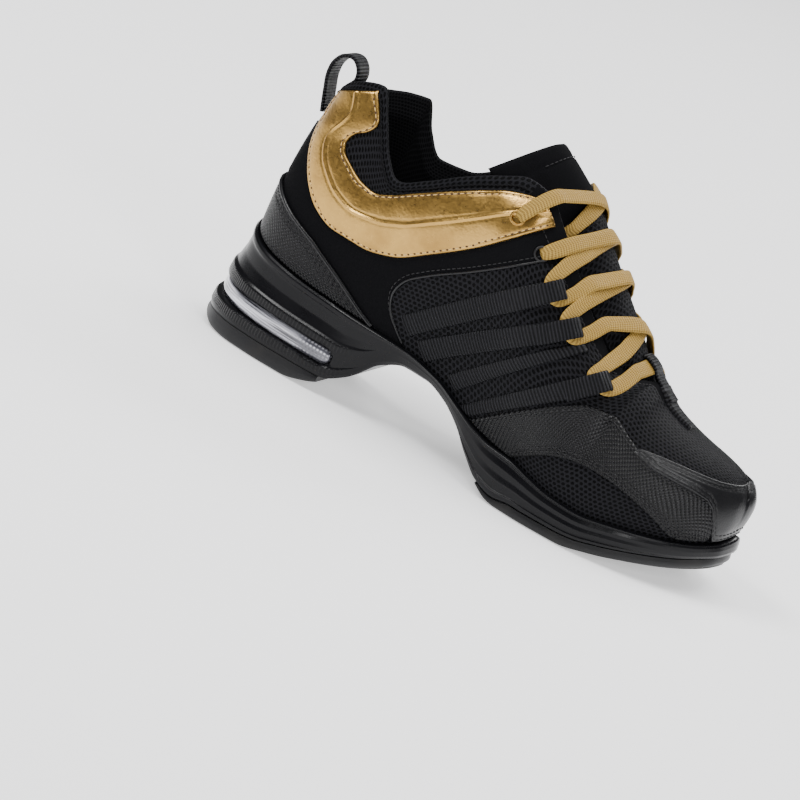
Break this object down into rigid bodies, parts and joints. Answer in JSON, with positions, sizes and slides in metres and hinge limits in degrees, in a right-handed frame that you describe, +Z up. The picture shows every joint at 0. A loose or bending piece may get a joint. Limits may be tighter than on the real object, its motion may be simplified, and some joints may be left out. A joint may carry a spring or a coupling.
{
  "type": "dance sneaker",
  "caption": "Low lace-up dance sneaker with a split heel-and-forefoot sole joined by an open raised arch, padded winged collar, webbing straps, overlays, pull loop and flat crossed lace.",
  "frame": {"origin": "on the ground under the middle of the heel's flat spot, where the shoe stands", "axes": "+X to the toe along the shoe's length, +Y to the inner side of the right foot, +Z up"},
  "size_m": [0.2493, 0.0913, 0.1385],
  "materials": {
    "sole_foam": "satin, moulded",
    "tread_rubber": "matt, moulded",
    "clear_window": "clear gloss over silver",
    "lining": "brushed lining",
    "upper_fabric": "open mesh over lining",
    "knit": "padded knit",
    "textured_overlay": "embossed, satin",
    "smooth_overlay": "smooth, stitched",
    "webbing": "ribbed webbing",
    "gold_leather": "metallic, lightly creased",
    "lace": "flat ribbed weave"
  },
  "bodies": {
    "root": {"midsole": "sole_foam", "outsole_heel": "tread_rubber", "outsole_forefoot": "tread_rubber", "heel_window": "clear_window", "insole": "lining", "upper": "upper_fabric", "tongue": "knit", "heel_counter": "textured_overlay", "toe_band": "smooth_overlay", "collar_band_lateral": "gold_leather", "collar_band_medial": "gold_leather", "side_overlay_lateral": "textured_overlay", "side_overlay_medial": "textured_overlay", "strap_1_lateral": "webbing", "strap_2_lateral": "webbing", "strap_3_lateral": "webbing", "strap_4_lateral": "webbing", "strap_1_medial": "webbing", "strap_2_medial": "webbing", "strap_3_medial": "webbing", "strap_4_medial": "webbing", "back_strip": "smooth_overlay", "lace_keeper": "webbing", "pull_loop": "webbing", "laces": "lace"}
  },
  "joints": []
}
